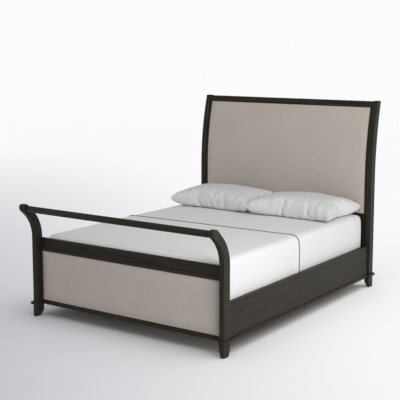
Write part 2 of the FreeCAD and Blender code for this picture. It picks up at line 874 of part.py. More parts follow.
def side_rail_cleat(side, sign):
    """Ledge screwed to the inside of a rail, carrying the slat ends."""
    body = new_body("side_rail_cleat_" + side)
    inner = rail_inner - d.cleat_wide
    x0 = -rail_inner if sign < 0 else inner
    x1 = -inner if sign < 0 else rail_inner
    length = d.mattress_long
    extrude(body, "XZ", [box_corners(x0, x1, support_top - d.cleat_high, support_top)], length,
            d.bed_foot_gap)
    free_face = -inner if sign < 0 else inner
    for radius, deep in ((d.screw_head_radius, d.screw_head), (d.screw_radius, d.cleat_wide + 1)):
        cut(body, "YZ", [(y, cleat_height(), radius + FIT) for y in cleat_screw_places()],
            free_face, deep, sign)
    screw_x = as_size(sign) * (rail_inner - d.cleat_wide / 2)
    cut(body, "XY", [(screw_x, slat_place(index), d.screw_radius + FIT) for index in range(SLATS)],
        support_top, d.slat_screw_bite + d.hole_spare + FIT, -1)
    place(body, 0, foot_back)


def rail_plates():
    """Steel plates: a slotted one let into each post, a hooked one let into each rail end."""
    wide, tall, thick = d.plate_wide.value, d.plate_tall.value, d.plate_thick.value
    pitch, hook, reach = d.hook_pitch.value, d.hook_thick.value, d.hook_reach.value
    hook_tall = d.hook_tall.value

    def blank():
        plate = Part.makeBox(wide, thick, tall, Vector(-wide / 2, 0, -tall / 2))
        for step in (-1, 1):
            drill = Part.makeCylinder(d.screw_radius.value + FIT, thick + 2,
                                      Vector(0, -1, step * d.plate_screw_pitch.value / 2),
                                      Vector(0, 1, 0))
            sink = Part.makeCone(d.screw_head_radius.value + FIT, d.screw_radius.value + FIT,
                                 d.screw_head.value,
                                 Vector(0, 0, step * d.plate_screw_pitch.value / 2), Vector(0, 1, 0))
            plate = plate.cut(drill).cut(sink)
        return plate

    slotted, hooked = blank(), blank()
    for step in (-1, 1):
        slot = Part.makeBox(hook + 1, thick + 2, hook_tall + 4,
                            Vector(-hook / 2 - 0.5, -1, step * pitch / 2 - hook_tall / 2 - 2))
        slotted = slotted.cut(slot)
        tab = Part.makeBox(hook, reach + 1, hook_tall, Vector(-hook / 2, -reach, step * pitch / 2 - hook_tall / 2))
        lip = Part.makeBox(hook, 4, 3, Vector(-hook / 2, -reach, step * pitch / 2 - hook_tall / 2 - 2))
        hooked = hooked.fuse(tab).fuse(lip)
    hooked = hooked.removeSplitter()
    middle = ((d.rail_outer + rail_inner) / 2).value
    height = d.plate_centre.value
    for label, plate in (("post_slot_plates", slotted), ("rail_hook_plates", hooked)):
        solids = []
        for sign in (-1, 1):
            for face, turn in ((foot_back.value, 0), (head_front.value, 180)):
                into_post = label == "post_slot_plates"
                copy = plate.copy()
                spin = turn + (180 if into_post else 0)
                copy.Placement = Placement(Vector(sign * middle, face, height),
                                           Rotation(Vector(0, 0, 1), spin))
                solids.append(copy)
        group = node(doc.addObject("Part::Feature", label), label)
        group.Shape = Part.makeCompound(solids)


def wood_screw(length):
    """Countersunk screw along -Z, its head's flat top at the origin."""
    shank = Part.makeCylinder(d.screw_radius.value, length, Vector(0, 0, -length))
    head = Part.makeCone(d.screw_radius.value, d.screw_head_radius.value, d.screw_head.value,
                         Vector(0, 0, -d.screw_head.value))
    return shank.fuse(head).removeSplitter()


def screw_group(label, length, seats):
    """Screws at (point, outward direction) seats, as one group."""
    screw = wood_screw(length)
    solids = []
    for point, outward in seats:
        copy = screw.copy()
        copy.Placement = Placement(point, Rotation(Vector(0, 0, 1), outward))
        solids.append(copy)
    group = node(doc.addObject("Part::Feature", label), label)
    group.Shape = Part.makeCompound(solids)


def all_screws():
    middle = ((d.rail_outer + rail_inner) / 2).value
    plate_seats = []
    for sign in (-1, 1):
        for face, into_rail in ((foot_back.value, 1), (head_front.value, -1)):
            for step in (-1, 1):
                height = (d.plate_centre + step * d.plate_screw_pitch / 2).value
                for way in (into_rail, -into_rail):
                    plate_seats.append((Vector(sign * middle, face, height), Vector(0, -way, 0)))
    screw_group("plate_screws", d.plate_screw_long.value, plate_seats)
    cleat_x = (rail_inner - d.cleat_wide).value
    screw_group("cleat_screws", (d.cleat_wide + d.cleat_screw_bite).value, [
        (Vector(sign * cleat_x, (foot_back + y).value, cleat_height().value), Vector(-sign, 0, 0))
        for sign in (-1, 1) for y in cleat_screw_places()])
    slat_x = (rail_inner - d.cleat_wide / 2).value
    screw_group("slat_screws", (d.slat_thick + d.slat_screw_bite).value, [
        (Vector(sign * slat_x, (foot_back + slat_place(index)).value, d.slat_top.value), Vector(0, 0, 1))
        for sign in (-1, 1) for index in range(SLATS)])


# ---------------------------------------------------------------------------------------
# Slats, centre beam and legs
# ---------------------------------------------------------------------------------------
def slat_pitch():
    return (d.mattress_long - d.slat_wide) / (SLATS - 1)


def slat_place(index):
    """Distance of a slat's middle from the foot end of the rails."""
    return d.bed_foot_gap + d.slat_wide / 2 + slat_pitch() * index


def slat(index):
    body = new_body("slat_%d" % (index + 1))
    half = rail_inner - d.slat_end_gap
    wide = d.slat_wide / 2
    extrude(body, "XY", [box_corners(-half, half, -wide, wide)], d.slat_thick, support_top)
    dress(body, "Fillet", d.slat_round,
          lambda edge: along("x")(edge) and edge.CenterOfMass.z > support_top.value + 1)
    screw_x = rail_inner - d.cleat_wide / 2
    cut(body, "XY", [(screw_x * sign, 0, d.screw_head_radius + FIT) for sign in (-1, 1)],
        d.slat_top, d.screw_head, -1)
    cut(body, "XY", [(screw_x * sign, 0, d.screw_radius + FIT) for sign in (-1, 1)],
        d.slat_top, d.slat_thick + 1, -1)
    place(body, 0, foot_back + slat_place(index))


def leg_y(index):
    """Y of a centre leg, spread evenly along the beam."""
    return foot_back + d.rail_length * (index + 1) / (CENTRE_LEGS + 1)


def centre_support():
    """Beam under the slats, hung on a steel cup at each end, on three square legs."""
    start = foot_back + d.cup_thick
    stop = head_line - d.head_rail_thick / 2 - d.cup_thick
    body = new_body("center_beam")
    half = d.beam_wide / 2
    extrude(body, "XZ", [box_corners(-half, half, support_top - d.beam_high, support_top)], stop - start)
    place(body, 0, start)
    for index in range(CENTRE_LEGS):
        leg = new_body("center_leg_%d" % (index + 1))
        side = d.leg_side / 2
        top = support_top - d.beam_high
        extrude(leg, "XY", [box_corners(-side, side, -side, side)], top - d.glide_thick, d.glide_thick)
        dress(leg, "Chamfer", d.leg_chamfer, along("z"))
        place(leg, 0, leg_y(index))
    cup_group(start.value, stop.value, d.cup_thick.value)


def cup_group(start, stop, thick):
    """U-shaped steel cups at the beam's ends: a back plate, a floor and two cheeks."""
    half, deep = (d.beam_wide / 2).value, d.cup_deep.value
    low, tall = (support_top - d.beam_high).value, d.beam_high.value
    solids = []
    for end, way in ((start, 1), (stop, -1)):
        y0 = end - thick if way > 0 else end - deep
        outer = Part.makeBox(2 * (half + thick), deep + thick, tall + thick,
                             Vector(-half - thick, y0, low - thick))
        y1 = end if way > 0 else end - deep
        inner = Part.makeBox(2 * half, deep + 0.01, tall + 10, Vector(-half, y1 - (0 if way > 0 else 0.01), low))
        solids.append(outer.cut(inner))
    group = node(doc.addObject("Part::Feature", "beam_cups"), "beam_cups")
    group.Shape = Part.makeCompound(solids)


# ---------------------------------------------------------------------------------------
# Bedding
# ---------------------------------------------------------------------------------------
def soft_block(label, half, low, high, grow, y0, length, corner, rounding, long_round=True):
    """A rounded block standing for something soft, from y0 along the bed."""
    body = new_body(label)
    extrude(body, "XY", [box_corners(-half - grow, half + grow, -grow, length + grow)], high - low, low)
    dress(body, "Fillet", corner, along("z"))
    bottom = low.value

    def rim(edge):
        flat = spans(edge)[2] < 1e-6
        return flat and (long_round or edge.CenterOfMass.z > bottom + 1)
    dress(body, "Fillet", rounding, rim)
    place(body, 0, y0)
    return body


def hollow(body, thick, opened):
    """Turn a solid into a shell of the given thickness, leaving out the faces the test keeps."""
    doc.recompute()
    base = body.Tip
    names = ["Face%d" % (i + 1) for i, face in enumerate(base.Shape.Faces) if opened(face)]
    shell = body.newObject("PartDesign::Thickness", body.Name + "_thickness")
    shell.Base = (base, names)
    shell.Value = thick.value
    bind(shell, "Value", thick)
    shell.Reversed = True
    return shell


def bedding():
    start = foot_back + d.bed_foot_gap
    zero = as_size(0)
    soft_block("box_spring", d.spring_half, d.slat_top + d.layer_gap, d.mattress_low - d.layer_gap,
               zero, start, d.mattress_long, d.spring_corner, d.spring_round)
    soft_block("mattress", d.mattress_half, d.mattress_low, d.mattress_high, zero, start,
               d.mattress_long, d.mattress_corner, d.mattress_round)
    fitted = soft_block("fitted_sheet", d.mattress_half, d.sheet_low, d.mattress_high + d.sheet_thick,
                        d.sheet_thick, start, d.mattress_long, d.mattress_corner + d.sheet_thick,
                        d.mattress_round + d.sheet_thick, False)
    bottom = d.sheet_low.value
    hollow(fitted, d.sheet_thick, lambda face: face.BoundBox.ZMax < bottom + 0.01)
    cover = new_body("cover_sheet")
    half = d.mattress_half + d.sheet_thick * 2
    top = d.mattress_high + d.sheet_thick * 2
    extrude(cover, "XY", [box_corners(-half, half, -d.sheet_thick * 2, d.cover_long)],
            top - d.sheet_low, d.sheet_low)
    dress(cover, "Fillet", d.mattress_corner + d.sheet_thick * 2,
          lambda edge: along("z")(edge) and edge.CenterOfMass.y < 0)
    hem = d.cover_long.value

    def shoulder(edge):
        flat = spans(edge)[2] < 1e-6
        return flat and edge.CenterOfMass.z > bottom + 1 and edge.CenterOfMass.y < hem - 1
    dress(cover, "Fillet", d.mattress_round + d.sheet_thick * 2, shoulder)
    hollow(cover, d.sheet_thick,
           lambda face: face.BoundBox.ZMax < bottom + 0.01 or face.BoundBox.YMin > hem - 0.01)
    place(cover, 0, start)


def pillow(side, sign):
    """A sleeping pillow lying flat against the headboard."""
    body = new_body("pillow_" + side)
    long_half, wide_half = d.pillow_long / 2, d.pillow_wide / 2
    extrude(body, "XY", [box_corners(-long_half, long_half, -wide_half, wide_half)], d.pillow_tall)
    dress(body, "Fillet", d.pillow_corner, along("z"))
    dress(body, "Fillet", d.pillow_round, lambda edge: spans(edge)[2] < 1e-6)
    place(body, as_size(sign) * (long_half + d.pillow_gap / 2),
          head_front - d.pillow_wide / 2 - d.pillow_forward,
          d.mattress_high + d.sheet_thick + d.pillow_lift)


# ---------------------------------------------------------------------------------------
# Build everything
# ---------------------------------------------------------------------------------------
def build():
    for side, sign in SIDES:
        footboard_post(side, sign)
        headboard_post(side, sign)
        foot("foot_front_" + side, sign, d.foot_line, 1)
        collar("foot_collar_front_" + side, sign, d.foot_line, 1)
        foot("foot_back_" + side, sign, head_line, -1)
        collar("foot_collar_back_" + side, sign, head_line, -1)
        side_rail(side, sign)
        side_rail_molding(side, sign)
        side_rail_cleat(side, sign)
        footboard_bead(side, sign)
        headboard_bead(side, sign)
        pillow(side, sign)
    glides()
    footboard_top_rail()
    footboard_mid_rail()
    footboard_bottom_rail()
    footboard_panel()
    footboard_cushion()
    headboard_top_rail()
    headboard_low_rails()
    headboard_panel()
    headboard_cushion()
    rail_plates()
    all_screws()
    for index in range(SLATS):
        slat(index)
    centre_support()
    bedding()


def check_and_write():
    doc.recompute()
    for thing in doc.Objects:
        if "Invalid" in thing.State or "Error" in thing.State:
            raise RuntimeError("%s failed: %s" % (thing.Label, thing.State))
    os.makedirs("parts", exist_ok=True)
    for thing in NODES:
        if thing.Shape.isNull() or not thing.Shape.isValid():
            raise RuntimeError("%s has no valid shape" % thing.Label)
        thing.Shape.exportStep("parts/%s.step" % thing.Label)
    box = FreeCAD.BoundBox()
    for thing in NODES:
        box.add(thing.Shape.BoundBox)
    print("%d sub-parts, box %s" % (len(NODES), box))


build()
check_and_write()
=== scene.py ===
import json
import math

import bmesh
import bpy
import numpy as np
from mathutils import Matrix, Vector, noise


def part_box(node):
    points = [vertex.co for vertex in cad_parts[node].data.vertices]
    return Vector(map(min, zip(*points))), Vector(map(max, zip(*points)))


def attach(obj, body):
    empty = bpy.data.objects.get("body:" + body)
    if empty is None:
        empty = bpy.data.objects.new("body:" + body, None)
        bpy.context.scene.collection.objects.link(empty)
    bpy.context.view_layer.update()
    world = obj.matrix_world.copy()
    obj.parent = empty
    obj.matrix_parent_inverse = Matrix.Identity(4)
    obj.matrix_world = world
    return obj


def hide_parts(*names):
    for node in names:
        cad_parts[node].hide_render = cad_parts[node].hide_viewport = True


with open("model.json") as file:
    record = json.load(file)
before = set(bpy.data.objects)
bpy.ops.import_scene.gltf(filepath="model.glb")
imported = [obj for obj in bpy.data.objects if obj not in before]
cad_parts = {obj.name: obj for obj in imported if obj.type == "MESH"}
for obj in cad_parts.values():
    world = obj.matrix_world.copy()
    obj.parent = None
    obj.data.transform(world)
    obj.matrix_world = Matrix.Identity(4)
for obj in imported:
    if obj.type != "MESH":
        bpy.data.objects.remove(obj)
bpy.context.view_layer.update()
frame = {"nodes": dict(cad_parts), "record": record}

# Looks of the upholstered sleigh bed.  Metres, +Z up, footboard towards -Y, headboard towards +Y.
NODES = frame["nodes"]
BODY_FRAME, BODY_MATTRESS, BODY_SPRING = "bedstead", "mattress_body", "box_spring_body"


# ---------------------------------------------------------------------------------------
# Shader helpers
# ---------------------------------------------------------------------------------------
class Shader:
    """A node material under construction."""

    def __init__(self, name, roughness, **principled):
        self.material = bpy.data.materials.new(name)
        self.material.use_nodes = True
        self.tree = self.material.node_tree
        self.surface = self.tree.nodes["Principled BSDF"]
        self.surface.inputs["Roughness"].default_value = roughness
        for socket, value in principled.items():
            self.surface.inputs[socket.replace("_", " ")].default_value = value
        self.place = self.node("ShaderNodeTexCoord").outputs["Object"]

    def node(self, kind, links=None, **settings):
        made = self.tree.nodes.new(kind)
        for key, value in settings.items():
            setattr(made, key, value)
        for socket, value in (links or {}).items():
            if isinstance(value, bpy.types.NodeSocket):
                self.tree.links.new(value, made.inputs[socket])
            else:
                made.inputs[socket].default_value = value
        return made

    def scaled(self, scale, turn=(0, 0, 0)):
        """Object coordinates stretched by a scale for each axis, per metre."""
        return self.node("ShaderNodeMapping", {"Vector": self.place, "Scale": scale,
                                               "Rotation": turn}).outputs["Vector"]

    def noise(self, vector, detail=3.0, rough=0.55, distortion=0.0):
        return self.node("ShaderNodeTexNoise", {
            "Vector": vector, "Detail": detail, "Roughness": rough, "Distortion": distortion,
            "Scale": 1.0}).outputs["Fac"]

    def wave(self, vector, axis, scale, distortion, detail_scale):
        return self.node("ShaderNodeTexWave", {"Vector": vector, "Scale": scale, "Distortion": distortion,
                                               "Detail Scale": detail_scale},
                         wave_type="BANDS", bands_direction=axis).outputs["Fac"]

    def ramp(self, factor, stops):
        """Colour ramp through (position, colour) stops."""
        made = self.node("ShaderNodeValToRGB", {"Fac": factor})
        elements = made.color_ramp.elements
        while len(elements) < len(stops):
            elements.new(0.5)
        for element, (position, colour) in zip(elements, stops):
            element.position = position
            element.color = (*colour, 1.0)
        return made.outputs["Color"]

    def math(self, operation, *values):
        made = self.node("ShaderNodeMath", operation=operation)
        for index, value in enumerate(values):
            if isinstance(value, bpy.types.NodeSocket):
                self.tree.links.new(value, made.inputs[index])
            else:
                made.inputs[index].default_value = value
        return made.outputs["Value"]

    def blend(self, factor, first, second, mode="MIX"):
        """Mix two colours, through the colour sockets of a mix node: inputs 6 and 7, output 2."""
        made = self.node("ShaderNodeMix", data_type="RGBA", blend_type=mode)
        for socket, value in ((made.inputs["Factor"], factor), (made.inputs[6], first),
                              (made.inputs[7], second)):
            if isinstance(value, bpy.types.NodeSocket):
                self.tree.links.new(value, socket)
            else:
                socket.default_value = value
        return made.outputs[2]

    def stretch(self, factor, low, high):
        """Map a 0 to 1 factor onto a range."""
        return self.node("ShaderNodeMapRange", {
            "Value": factor, "To Min": low, "To Max": high}).outputs["Result"]

    def bump(self, height, distance, strength, normal=None):
        links = {"Height": height, "Distance": distance, "Strength": strength}
        if normal is not None:
            links["Normal"] = normal
        return self.node("ShaderNodeBump", links).outputs["Normal"]

    def drive(self, socket, output):
        self.tree.links.new(output, self.surface.inputs[socket])


AXES = {"X": 0, "Y": 1, "Z": 2}


def along_grain(axis, across, lengthwise):
    scale = [across] * 3
    scale[AXES[axis]] = lengthwise
    return tuple(scale)


WOOD_PORE_DEPTH, WOOD_STREAK_DEPTH = 0.00025, 0.0004
# how strongly and how pale the edges are lightened: partly wear, partly painted highlight
WEAR_AND_HIGHLIGHT_GAIN, WEAR_AND_HIGHLIGHT_PALE = 7.0, 3.2


def wood(name, axis, dark, light, roughness, edge_round, edge_wear_and_highlight=0.0):
    """Stained timber with eased edges, its figure, streaks and pores running along one axis.

    worn is the most that the edges are paled: partly stain rubbed away, partly a painted highlight along the
    edges.
    """
    shader = Shader(name, roughness, Specular_IOR_Level=0.17)
    figure = shader.noise(shader.scaled(along_grain(axis, 34, 1.6)), detail=5, distortion=0.6)
    streak = shader.noise(shader.scaled(along_grain(axis, 230, 5)), detail=3, rough=0.65)
    pores = shader.noise(shader.scaled(along_grain(axis, 900, 22)), detail=2, rough=0.7)
    tone = shader.math("ADD", shader.math("MULTIPLY", figure, 0.62), shader.math("MULTIPLY", streak, 0.38))
    middle = tuple((a + b) / 2 for a, b in zip(dark, light))
    colour = shader.ramp(tone, [(0.37, dark), (0.5, middle), (0.63, light)])
    pore_mark = shader.stretch(shader.math("LESS_THAN", pores, 0.36), 1.0, 0.72)
    colour = shader.blend(1.0, colour, shader.node("ShaderNodeCombineColor", {
        "Red": pore_mark, "Green": pore_mark, "Blue": pore_mark}).outputs["Color"], "MULTIPLY")
    bevel = shader.node("ShaderNodeBevel", {"Radius": edge_round}, samples=4).outputs["Normal"]
    # painted highlight: the pale edges stand partly for stain rubbed away and partly for light caught along
    # the edges
    if edge_wear_and_highlight:
        flat = shader.node("ShaderNodeNewGeometry").outputs["Normal"]
        bend = shader.node("ShaderNodeVectorMath", {0: bevel, 1: flat},
                           operation="DOT_PRODUCT").outputs["Value"]
        patchy = shader.noise(shader.scaled((26, 26, 26)), detail=4)
        edge = shader.math("MULTIPLY", shader.math("SUBTRACT", 1.0, bend),
                           shader.math("MULTIPLY", patchy, WEAR_AND_HIGHLIGHT_GAIN))
        edge = shader.node("ShaderNodeClamp", {"Value": edge, "Max": edge_wear_and_highlight}).outputs["Result"]
        worn_and_highlit = tuple(c * WEAR_AND_HIGHLIGHT_PALE for c in light)
        colour = shader.blend(edge, colour, (*worn_and_highlit, 1.0))
    shader.drive("Base Color", colour)
    shader.drive("Roughness", shader.stretch(tone, roughness - 0.07, roughness + 0.09))
    streaky = shader.bump(streak, WOOD_STREAK_DEPTH, 0.35, bevel)
    shader.drive("Normal", shader.bump(pores, WOOD_PORE_DEPTH, 0.5, streaky))
    return shader.material


BAND_PITCH = 0.314            # from band to band of a wave texture at scale 1


def cloth(name, dark, light, thread, weave_depth, mottle, roughness=0.9, sheen=0.25, slub=0.0, crease=0.0):
    """Plain weave: threads crossing on every face, a soft tone change, optional slubs and fine creases."""
    shader = Shader(name, roughness, Sheen_Weight=sheen, Sheen_Roughness=0.6, Specular_IOR_Level=0.22)
    facing = shader.node("ShaderNodeSeparateXYZ", {
        "Vector": shader.node("ShaderNodeTexCoord").outputs["Normal"]})
    plain = shader.scaled((1, 1, 1))
    weave, slubs = None, None
    for axis in "XYZ":
        square = shader.math("POWER", shader.math("ABSOLUTE", facing.outputs[axis]), 2.0)
        lying = shader.math("SUBTRACT", 1.0, square)
        bands = shader.wave(plain, axis, BAND_PITCH / thread, 0.6, 2.0)
        thread_line = shader.math("MULTIPLY", bands, lying)
        thick_places = shader.noise(shader.scaled(along_grain(axis, 420, 18)), detail=2)
        run = shader.math("MULTIPLY", thick_places, lying)
        weave = thread_line if weave is None else shader.math("ADD", weave, thread_line)
        slubs = run if slubs is None else shader.math("ADD", slubs, run)
    soft = shader.noise(shader.scaled((mottle,) * 3), detail=5, rough=0.6)
    tone = shader.math("ADD", shader.math("MULTIPLY", soft, 0.25), shader.math("MULTIPLY", weave, 0.2))
    tone = shader.math("ADD", tone, 0.2)
    if slub:
        tone = shader.math("ADD", shader.math("MULTIPLY", tone, 1 - slub),
                           shader.math("MULTIPLY", slubs, slub / 2))
    shader.drive("Base Color", shader.ramp(tone, [(0.36, dark), (0.66, light)]))
    normal = shader.bump(weave, weave_depth, 0.6)
    if crease:
        creases = shader.noise(shader.scaled((15, 6, 11)), detail=4, rough=0.55, distortion=0.5)
        normal = shader.bump(creases, crease, 0.5, normal)
    shader.drive("Normal", normal)
    return shader.material


def metal(name, colour, roughness):
    shader = Shader(name, roughness, Metallic=1.0)
    brushed = shader.noise(shader.scaled((60, 60, 900)), detail=3)
    shade = tuple(c * 0.8 for c in colour)
    shader.drive("Base Color", shader.ramp(brushed, [(0.3, shade), (0.7, colour)]))
    shader.drive("Roughness", shader.stretch(brushed, roughness - 0.1, roughness + 0.12))
    shader.drive("Normal", shader.bump(brushed, 0.0002, 0.3))
    return shader.material


def moulded(name, colour, roughness):
    shader = Shader(name, roughness)
    grain = shader.noise(shader.scaled((700, 700, 700)), detail=2)
    shade = tuple(c * 0.7 for c in colour)
    shader.drive("Base Color", shader.ramp(grain, [(0.2, shade), (0.8, colour)]))
    shader.drive("Normal", shader.bump(grain, 0.0002, 0.4))
    return shader.material


ESPRESSO_DARK, ESPRESSO_LIGHT = (0.0085, 0.0066, 0.0044), (0.0300, 0.0246, 0.0172)
# the espresso's pale edges are partly wear and partly painted highlight
espresso = {axis: wood("espresso_" + axis.lower(), axis, ESPRESSO_DARK, ESPRESSO_LIGHT, 0.46,
                       edge_round=0.003, edge_wear_and_highlight=0.6) for axis in "XYZ"}
plywood = wood("stained_veneer", "Z", (0.019, 0.015, 0.012), (0.042, 0.034, 0.028), 0.6, edge_round=0.0006)
pine = {axis: wood("pine_" + axis.lower(), axis, (0.44, 0.33, 0.21), (0.66, 0.54, 0.39), 0.62,
                   edge_round=0.0015) for axis in "XYZ"}
LINEN_DARK, LINEN_LIGHT = (0.378, 0.328, 0.291), (0.492, 0.438, 0.398)
linen = cloth("linen", LINEN_DARK, LINEN_LIGHT, 0.0016, 0.0006, mottle=6.0, slub=0.35)
percale = cloth("percale", (0.66, 0.66, 0.66), (0.73, 0.73, 0.73), 0.0008, 0.00006, mottle=5.0,
                roughness=0.85, sheen=0.12, crease=0.0010)
case_cotton = cloth("case_cotton", (0.57, 0.57, 0.57), (0.64, 0.64, 0.64), 0.0008, 0.00006, mottle=7.0,
                    roughness=0.85, sheen=0.12, crease=0.0045)
piping_cloth = cloth("piping", (0.07, 0.07, 0.07), (0.12, 0.12, 0.12), 0.0006, 0.0002, mottle=40.0,
                     roughness=0.8)
ticking = cloth("ticking", (0.62, 0.60, 0.56), (0.76, 0.74, 0.70), 0.0024, 0.0006, mottle=18.0)
spring_cover = cloth("spring_cover", (0.47, 0.455, 0.43), (0.60, 0.585, 0.56), 0.002, 0.0004, mottle=10.0)
steel = metal("zinc_plate", (0.52, 0.52, 0.50), 0.38)
nylon = moulded("nylon_glide", (0.05, 0.05, 0.05), 0.55)

GRAIN = {"espresso_wood": espresso, "pale_wood": pine}
FLAT = {"dark_plywood": plywood, "plated_steel": steel, "nylon": nylon}


def paint_nodes():
    """Give every kept CAD node its finish, the grain running along the piece's longest side."""
    for entry in frame["record"]["subparts"]:
        piece, finish = NODES[entry["node"]], entry["material_slot"]
        if finish in GRAIN:
            low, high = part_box(entry["node"])
            sides = high - low
            material = GRAIN[finish]["XYZ"[max(range(3), key=lambda i: sides[i])]]
        elif finish in FLAT:
            material = FLAT[finish]
        else:
            continue
        for holder in piece.material_slots:
            holder.material = material


# ---------------------------------------------------------------------------------------
# Mesh helpers
# ---------------------------------------------------------------------------------------
def mesh_object(name, points, faces, material, smooth=True):
    mesh = bpy.data.meshes.new(name)
    mesh.from_pydata([tuple(p) for p in points], [], faces)
    mesh.validate()
    mesh.update()
    mesh.polygons.foreach_set("use_smooth", [smooth] * len(mesh.polygons))
    piece = bpy.data.objects.new(name, mesh)
    bpy.context.scene.collection.objects.link(piece)
    piece.data.materials.append(material)
    return piece


def points_of(piece):
    flat = np.empty(len(piece.data.vertices) * 3)
    piece.data.vertices.foreach_get("co", flat)
    return flat.reshape(-1, 3)


def set_points(piece, points):
    piece.data.vertices.foreach_set("co", np.asarray(points, float).ravel())
    piece.data.update()


def apply_modifiers(piece):
    bpy.context.view_layer.update()
    graph = bpy.context.evaluated_depsgraph_get()
    mesh = bpy.data.meshes.new_from_object(piece.evaluated_get(graph))
    piece.modifiers.clear()
    piece.data = mesh


def subdivide(piece):
    modifier = piece.modifiers.new("subdivision", "SUBSURF")
    modifier.levels = modifier.render_levels = 1
    modifier.boundary_smooth = "PRESERVE_CORNERS"
    apply_modifiers(piece)
    piece.data.polygons.foreach_set("use_smooth", [True] * len(piece.data.polygons))


def ripple(points, scale, seed):
    """Smooth noise between -1 and 1 at each point."""
    shift = Vector((seed * 7.3, seed * 3.1, seed * 5.7))
    return np.array([noise.noise(Vector(p) * scale + shift) for p in points])


def creased(points, scale, seed, sharpness):
    """Thin ridges along the zero lines of the noise, 0 to 1."""
    return (1 - np.abs(ripple(points, scale, seed))) ** sharpness


def spaced(length, ends, count):
    """Stations along a length: close together near both ends, even between them."""
    near = np.array(ends)
    middle = np.linspace(near[-1], length - near[-1], count)
    return np.concatenate([near[:-1], middle, length - near[-2::-1]])


def grid_faces(rows, columns, start=0, flip=False):
    """Quads between neighbours of a grid whose first vertex has the index start."""
    faces = []
    for r in range(rows - 1):
        for c in range(columns - 1):
            a = start + r * columns + c
            quad = (a, a + 1, a + columns + 1, a + columns)
            faces.append(quad[::-1] if flip else quad)
    return faces


def border_loop(rows, columns):
    """Indices of a grid's border vertices, in order round it."""
    top = list(range(columns))
    right = [r * columns + columns - 1 for r in range(1, rows)]
    bottom = [(rows - 1) * columns + c for c in range(columns - 2, -1, -1)]
    left = [r * columns for r in range(rows - 2, 0, -1)]
    return top + right + bottom + left


TUBE_SIDES = 8


def tube(name, route, radius, material):
    """A closed-ended tube along a list of points."""
    sides = TUBE_SIDES
    route = [Vector(p) for p in route]
    rings, faces = [], []
    side = Vector((1, 0, 0))
    for index, point in enumerate(route):
        ahead = (route[min(index + 1, len(route) - 1)] - route[max(index - 1, 0)]).normalized()
        side = side - ahead * side.dot(ahead)
        side = side.normalized() if side.length > 1e-4 else ahead.orthogonal().normalized()
        up = ahead.cross(side)
        for k in range(sides):
            angle = 2 * math.pi * k / sides
            rings.append(point + (side * math.cos(angle) + up * math.sin(angle)) * radius)
    for r in range(len(route) - 1):
        for k in range(sides):
            a, b = r * sides + k, r * sides + (k + 1) % sides
            faces.append((a, b, b + sides, a + sides))
    faces.append(tuple(range(sides))[::-1])
    faces.append(tuple(range(len(rings) - sides, len(rings))))
    return mesh_object(name, rings, faces, material)


def run_cloth(piece, frames, pressure, mass, tension, bending, damping, air, pins=(), volume=0.0):
    """Step Blender's cloth on a piece and keep the last frame; pinned vertices stay where they are.

    A volume, in cubic metres, is what the pressure tries to reach.
    """
    modifier = piece.modifiers.new("cloth", "CLOTH")
    setting = modifier.settings
    setting.quality = 6
    setting.mass = mass
    setting.air_damping = air
    setting.tension_stiffness = setting.compression_stiffness = tension
    setting.shear_stiffness = tension * 0.5
    setting.bending_stiffness = bending
    setting.tension_damping = setting.compression_damping = damping
    setting.use_pressure = True
    setting.uniform_pressure_force = pressure
    if volume:
        setting.use_pressure_volume = True
        setting.target_volume = volume
    setting.effector_weights.gravity = 0
    modifier.collision_settings.use_collision = False
    modifier.point_cache.frame_start, modifier.point_cache.frame_end = 1, frames
    if pins:
        group = piece.vertex_groups.new(name="pins")
        group.add([int(i) for i in pins], 1.0, "REPLACE")
        setting.vertex_group_mass = "pins"
    for step in range(1, frames + 1):
        bpy.context.scene.frame_set(step)
    apply_modifiers(piece)
    bpy.context.scene.frame_set(1)


def finish_piece(piece, body, node):
    """The piece rides on a body and stands for one soft CAD solid."""
    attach(piece, body)
    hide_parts(node)


# ---------------------------------------------------------------------------------------
# Upholstered panels
# ---------------------------------------------------------------------------------------
# Distances from a panel's border where its mesh has lines, closest in the rolled border.
EDGE_STATIONS = (0.0, 0.0015, 0.004, 0.008, 0.013, 0.02, 0.030, 0.042, 0.056)
PANEL_COLUMNS, PANEL_ROW_PITCH = 76, 0.021
BORDER_ROLL, BORDER_SINK = 0.010, 0.8          # radius of the roll, and how much of it is used
SHOULDER_WIDE, SHOULDER_HIGH = 0.055, 0.0055   # the padding rises over this width to this height
FABRIC_HELD = 0.02            # the fabric lies still at the border and is slack from here inwards
SWELL_SMOOTHING = 6
PANEL_PRESSURE, PANEL_FRAMES = 2.0, 16
WELT_INSET, WELT_SUNK, WELT_RADIUS = 0.0052, 0.0052, 0.0045


def rolled_border(inset):
    """How far the fabric sinks at a distance from the border, along a quarter circle."""
    away = 1 - min(inset / BORDER_ROLL, 1.0)
    return BORDER_ROLL * (1 - math.sqrt(max(0.0, 1 - away ** 2))) * BORDER_SINK


def smoothed(grid):
    """Even out a grid of heights inside its border."""
    for _ in range(SWELL_SMOOTHING):
        grid[1:-1, 1:-1] = (grid[:-2, 1:-1] + grid[2:, 1:-1] + grid[1:-1, :-2] + grid[1:-1, 2:]) / 4
    return grid.ravel()


